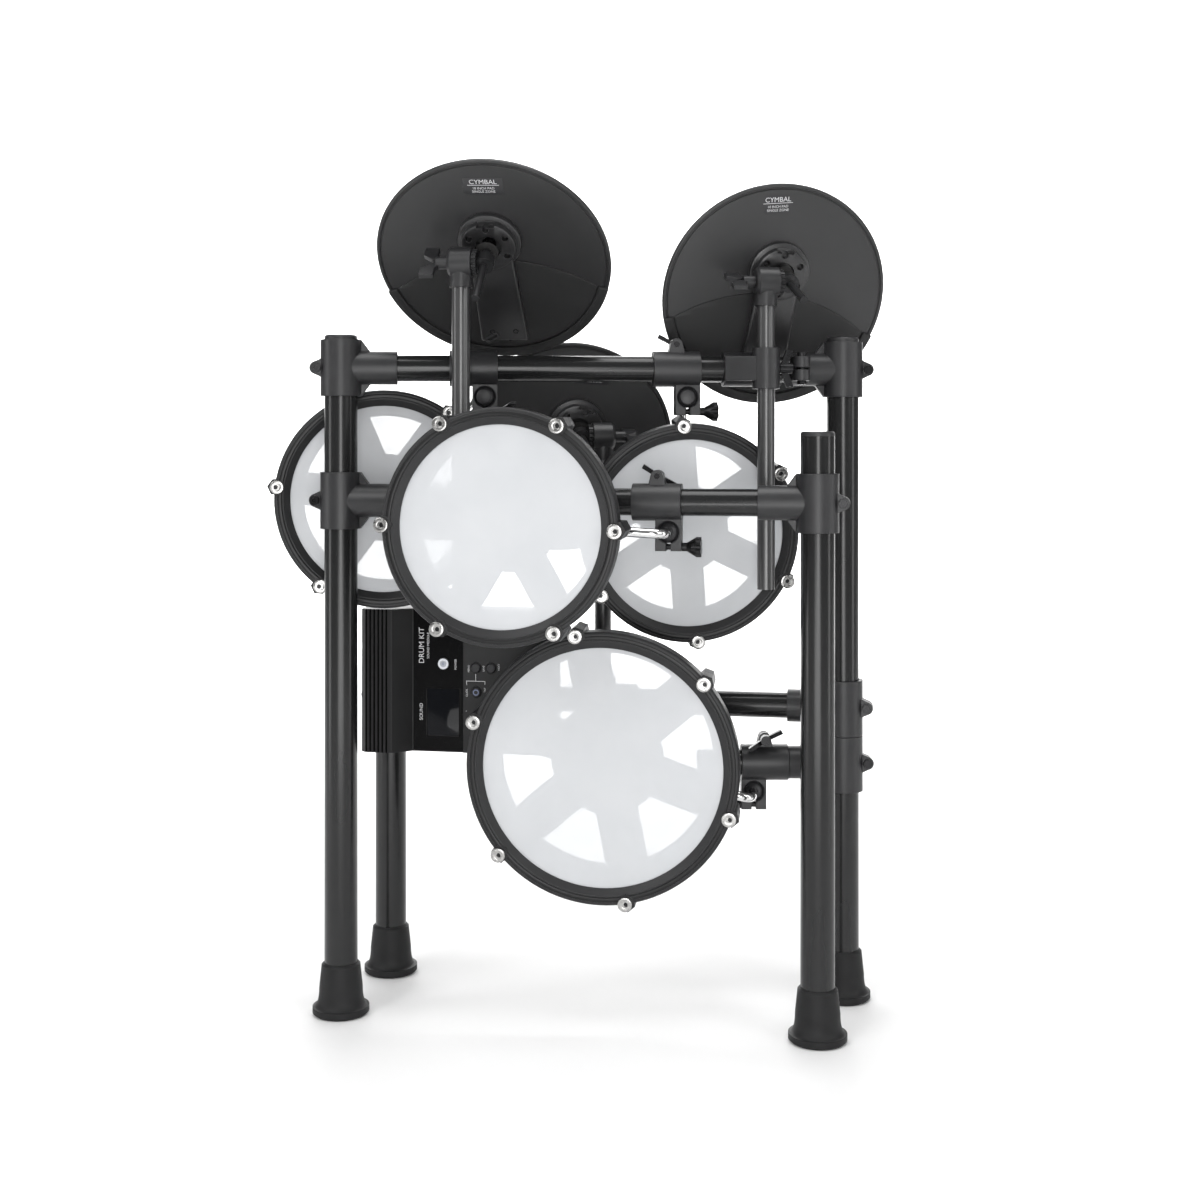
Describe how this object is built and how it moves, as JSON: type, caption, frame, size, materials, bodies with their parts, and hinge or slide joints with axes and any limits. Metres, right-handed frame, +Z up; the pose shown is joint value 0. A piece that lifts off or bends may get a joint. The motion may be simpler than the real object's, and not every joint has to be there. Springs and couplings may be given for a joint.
{
  "type": "electronic drum kit",
  "caption": "Electronic drum kit folded for storage: pads on ball-clamp rods, rubber-edged cymbals on tilting arms and a sound module, on a tube rack with hinged wings.",
  "frame": {"origin": "middle of the kit's overall box, on the floor", "axes": "+X to the right of a viewer on the audience side, +Y away from that viewer, +Z up"},
  "size_m": [0.6818, 0.359, 0.896],
  "materials": {
    "black_tube": "satin",
    "black_steel": "satin",
    "clamp_black": "fine grain",
    "foot_rubber": "matte",
    "cymbal_rubber": "matte",
    "hoop_black": "fine grain",
    "shell_black": "fine grain",
    "clear_head": "translucent",
    "bright_rod": "polished",
    "gloss_panel": "gloss",
    "module_black": "satin",
    "button_grey": "satin"
  },
  "bodies": {
    "rack": {"left_centre_post": "black_tube", "right_centre_post": "black_tube", "top_crossbar": "black_tube", "top_tees": "clamp_black", "centre_feet": "foot_rubber", "rack_tom_clamps": "clamp_black", "rack_arm_clamp": "clamp_black"},
    "front_wing": {"front_wing_bar": "black_tube", "front_wing_post": "black_tube", "front_wing_tees": "clamp_black", "front_wing_foot": "foot_rubber", "front_tom_clamp": "clamp_black", "front_arm_clamp": "clamp_black"},
    "rear_wing": {"rear_wing_bar": "black_tube", "rear_wing_post": "black_tube", "rear_wing_tees": "clamp_black", "rear_wing_foot": "foot_rubber", "rear_arm_clamp": "clamp_black"},
    "snare_arm": {"snare_tee": "clamp_black", "snare_bar": "black_tube", "snare_clamp": "clamp_black"},
    "front_tom_rod": {"front_tom_rod": "bright_rod"},
    "front_tom_pad": {"front_tom_shell": "shell_black", "front_tom_hoop": "hoop_black", "front_tom_head": "clear_head"},
    "left_tom_rod": {"left_tom_rod": "bright_rod"},
    "left_tom_pad": {"left_tom_shell": "shell_black", "left_tom_hoop": "hoop_black", "left_tom_head": "clear_head"},
    "right_tom_rod": {"right_tom_rod": "bright_rod"},
    "right_tom_pad": {"right_tom_shell": "shell_black", "right_tom_hoop": "hoop_black", "right_tom_head": "clear_head"},
    "snare_rod": {"snare_rod": "bright_rod"},
    "snare_pad": {"snare_shell": "shell_black", "snare_hoop": "hoop_black", "snare_head": "clear_head"},
    "left_cymbal_arm": {"left_cymbal_arm": "black_tube"},
    "left_cymbal_tilter": {"left_cymbal_tilter": "black_steel"},
    "left_cymbal": {"left_cymbal": "cymbal_rubber"},
    "left_wing_nut": {"left_wing_nut": "black_steel"},
    "right_cymbal_arm": {"right_cymbal_arm": "black_tube"},
    "right_cymbal_tilter": {"right_cymbal_tilter": "black_steel"},
    "right_cymbal": {"right_cymbal": "cymbal_rubber"},
    "right_wing_nut": {"right_wing_nut": "black_steel"},
    "hihat_cymbal_arm": {"hihat_cymbal_arm": "black_tube"},
    "hihat_cymbal_tilter": {"hihat_cymbal_tilter": "black_steel"},
    "hihat_cymbal": {"hihat_cymbal": "cymbal_rubber"},
    "hihat_wing_nut": {"hihat_wing_nut": "black_steel"},
    "module": {"module_bracket": "clamp_black", "module_case": "module_black", "module_panel": "gloss_panel"},
    "data_dial": {"data_dial": "module_black"},
    "power_button": {"power_button": "button_grey"},
    "menu_button": {"menu_button": "button_grey"},
    "select_button": {"select_button": "button_grey"},
    "click_button": {"click_button": "button_grey"}
  },
  "joints": [
    {"name": "front_wing_fold", "type": "hinge", "parent": "rack", "child": "front_wing", "pos_m": [-0.25265, -0.02445, 0], "axis": [0, 0, 1], "range_deg": [-120, 0]},
    {"name": "rear_wing_fold", "type": "hinge", "parent": "rack", "child": "rear_wing", "pos_m": [0.28945, 0.02108, 0], "axis": [0, 0, 1], "range_deg": [-110, 0]},
    {"name": "snare_arm_swing", "type": "hinge", "parent": "rack", "child": "snare_arm", "pos_m": [0.28945, 0.02108, 0], "axis": [0, 0, 1], "range_deg": [0, 14]},
    {"name": "front_tom_tilt", "type": "hinge", "parent": "front_wing", "child": "front_tom_rod", "pos_m": [0.09492, -0.08012, 0.5155], "axis": [0.9874, -0.1582, 0], "range_deg": [0, 9]},
    {"name": "front_tom_swivel", "type": "hinge", "parent": "front_tom_rod", "child": "front_tom_pad", "pos_m": [0.08892, -0.11763, 0.51484], "axis": [0.9856, -0.1568, -0.0628], "range_deg": [-4, 6]},
    {"name": "left_tom_tilt", "type": "hinge", "parent": "rack", "child": "left_tom_rod", "pos_m": [-0.10018, -0.01164, 0.6565], "axis": [0.9965, 0.0837, 0], "range_deg": [-2, 2]},
    {"name": "left_tom_swivel", "type": "hinge", "parent": "left_tom_rod", "child": "left_tom_pad", "pos_m": [-0.10847, 0.08701, 0.6565], "axis": [0.6985, 0.0587, 0.7133], "range_deg": [-6, 1.5]},
    {"name": "right_tom_tilt", "type": "hinge", "parent": "rack", "child": "right_tom_rod", "pos_m": [0.11805, 0.00668, 0.6565], "axis": [0.9965, 0.0837, 0], "range_deg": [0, 3]},
    {"name": "right_tom_swivel", "type": "hinge", "parent": "right_tom_rod", "child": "right_tom_pad", "pos_m": [0.11492, 0.05146, 0.65964], "axis": [-0.0125, -0.0708, 0.9974], "range_deg": [0, 6]},
    {"name": "snare_tilt", "type": "hinge", "parent": "snare_arm", "child": "snare_rod", "pos_m": [0.19145, 0.02108, 0.227], "axis": [-1, 0, 0], "range_deg": [-14, 0]},
    {"name": "snare_swivel", "type": "hinge", "parent": "snare_rod", "child": "snare_pad", "pos_m": [0.18633, -0.02059, 0.22553], "axis": [0.9562, -0.1078, -0.2721], "range_deg": [-5, 14]},
    {"name": "left_arm_height", "type": "slide", "parent": "front_wing", "child": "left_cymbal_arm", "axis": [0, 0, 1], "range_m": [0, 0.1]},
    {"name": "left_cymbal_tilt", "type": "hinge", "parent": "left_cymbal_arm", "child": "left_cymbal_tilter", "pos_m": [-0.12057, -0.07244, 0.794], "axis": [0.9919, -0.1271, 0], "range_deg": [-9, 10]},
    {"name": "left_cymbal_rock", "type": "hinge", "parent": "left_cymbal_tilter", "child": "left_cymbal", "pos_m": [-0.09352, -0.05642, 0.8114], "axis": [0.9919, -0.1271, 0], "range_deg": [-3, 3], "stiffness_Nm_per_rad": 12},
    {"name": "left_wing_nut_turn", "type": "hinge", "parent": "left_cymbal_tilter", "child": "left_wing_nut", "pos_m": [-0.12057, -0.07244, 0.794], "axis": [0.9919, -0.1271, 0], "continuous": true},
    {"name": "right_arm_height", "type": "slide", "parent": "rack", "child": "right_cymbal_arm", "axis": [0, 0, 1], "range_m": [0, 0.12]},
    {"name": "right_cymbal_tilt", "type": "hinge", "parent": "right_cymbal_arm", "child": "right_cymbal_tilter", "pos_m": [0.20198, -0.01286, 0.78], "axis": [0.9848, 0.1736, 0], "range_deg": [0, 10]},
    {"name": "right_cymbal_rock", "type": "hinge", "parent": "right_cymbal_tilter", "child": "right_cymbal", "pos_m": [0.22223, 0.0151, 0.78995], "axis": [0.9848, 0.1736, 0], "range_deg": [-3, 3], "stiffness_Nm_per_rad": 12},
    {"name": "right_wing_nut_turn", "type": "hinge", "parent": "right_cymbal_tilter", "child": "right_wing_nut", "pos_m": [0.20198, -0.01286, 0.78], "axis": [0.9848, 0.1736, 0], "continuous": true},
    {"name": "hihat_arm_height", "type": "slide", "parent": "rear_wing", "child": "hihat_cymbal_arm", "axis": [0, 0, 1], "range_m": [-0.02, 0.03]},
    {"name": "hihat_cymbal_tilt", "type": "hinge", "parent": "hihat_cymbal_arm", "child": "hihat_cymbal_tilter", "pos_m": [0.02704, 0.09377, 0.614], "axis": [-0.9848, -0.1736, 0], "range_deg": [-5, 8]},
    {"name": "hihat_cymbal_rock", "type": "hinge", "parent": "hihat_cymbal_tilter", "child": "hihat_cymbal", "pos_m": [-0.0017, 0.11395, 0.6216], "axis": [-0.9848, -0.1736, 0], "range_deg": [-3, 3], "stiffness_Nm_per_rad": 12},
    {"name": "hihat_wing_nut_turn", "type": "hinge", "parent": "hihat_cymbal_tilter", "child": "hihat_wing_nut", "pos_m": [0.02704, 0.09377, 0.614], "axis": [-0.9848, -0.1736, 0], "continuous": true},
    {"name": "module_tilt", "type": "hinge", "parent": "rear_wing", "child": "module", "pos_m": [-0.11642, 0.09191, 0.318], "axis": [-0.9851, 0.1719, 0], "range_deg": [-6, 0.5]},
    {"name": "data_dial_turn", "type": "hinge", "parent": "module", "child": "data_dial", "pos_m": [-0.06866, 0.01658, 0.331], "axis": [-0.1719, -0.9851, 0], "continuous": true},
    {"name": "power_button_press", "type": "slide", "parent": "module", "child": "power_button", "axis": [0.1719, 0.9851, 0], "range_m": [0, 0.0012], "stiffness_N_per_m": 600},
    {"name": "menu_button_press", "type": "slide", "parent": "module", "child": "menu_button", "axis": [0.1719, 0.9851, 0], "range_m": [0, 0.0012], "stiffness_N_per_m": 600},
    {"name": "select_button_press", "type": "slide", "parent": "module", "child": "select_button", "axis": [0.1719, 0.9851, 0], "range_m": [0, 0.0012], "stiffness_N_per_m": 600},
    {"name": "click_button_press", "type": "slide", "parent": "module", "child": "click_button", "axis": [0.1719, 0.9851, 0], "range_m": [0, 0.0012], "stiffness_N_per_m": 600}
  ]
}
